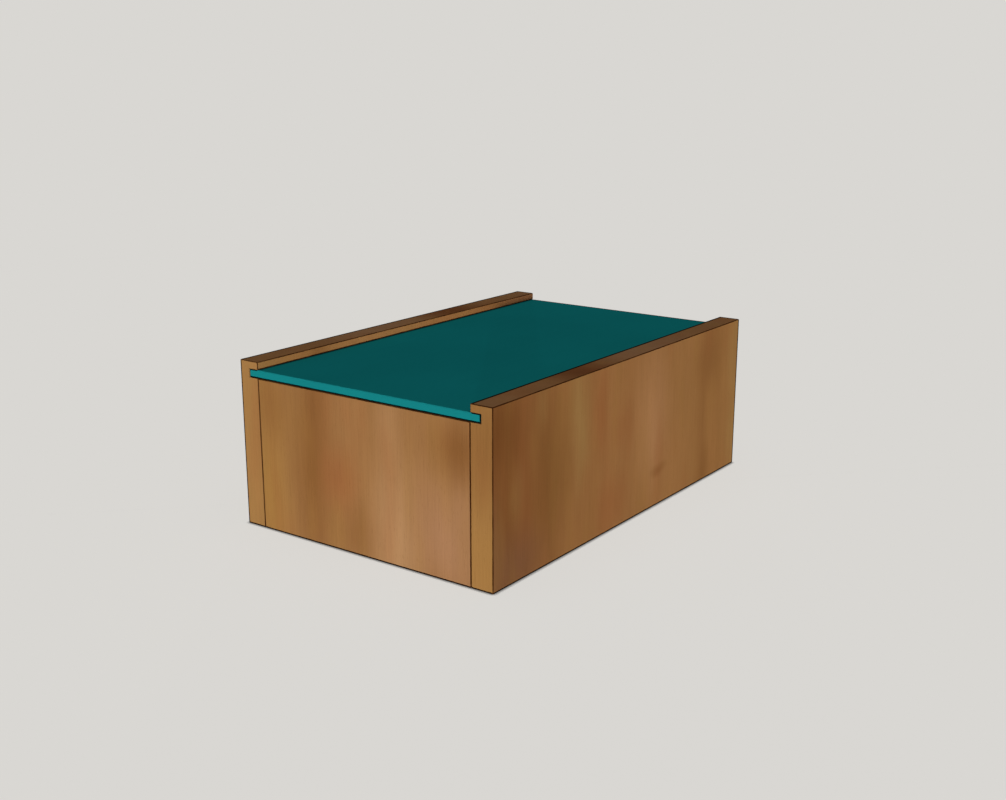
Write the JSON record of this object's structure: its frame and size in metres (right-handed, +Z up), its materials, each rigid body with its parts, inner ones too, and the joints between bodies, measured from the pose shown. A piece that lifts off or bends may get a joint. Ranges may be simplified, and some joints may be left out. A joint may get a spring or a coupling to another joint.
{
  "type": "sliding lid wooden box",
  "caption": "Rectangular wooden box with full-length grooved sides and a painted panel lid that slides out at either end; corners held by blind dowels.",
  "frame": {"origin": "centre of the box's footprint, on the surface that it stands on", "axes": "+Z up; +Y along the box, from the front board to the back board; +X to the right, seen from the front"},
  "size_m": [0.2414, 0.3682, 0.1333],
  "materials": {
    "cherry_boards": "oiled satin, warm brown",
    "bottom_plywood": "bare, fine sanded",
    "painted_lid": "matte teal paint",
    "birch_dowels": "bare, fluted"
  },
  "bodies": {
    "box": {"left_side": "cherry_boards", "right_side": "cherry_boards", "front_board": "cherry_boards", "back_board": "cherry_boards", "bottom_panel": "bottom_plywood", "front_left_dowels": "birch_dowels", "front_right_dowels": "birch_dowels", "back_left_dowels": "birch_dowels", "back_right_dowels": "birch_dowels"},
    "lid": {"sliding_lid": "painted_lid"}
  },
  "joints": [
    {"name": "lid_slide", "type": "slide", "parent": "box", "child": "lid", "axis": [0, -1, 0], "range_m": [-0.37, 0.37]}
  ]
}
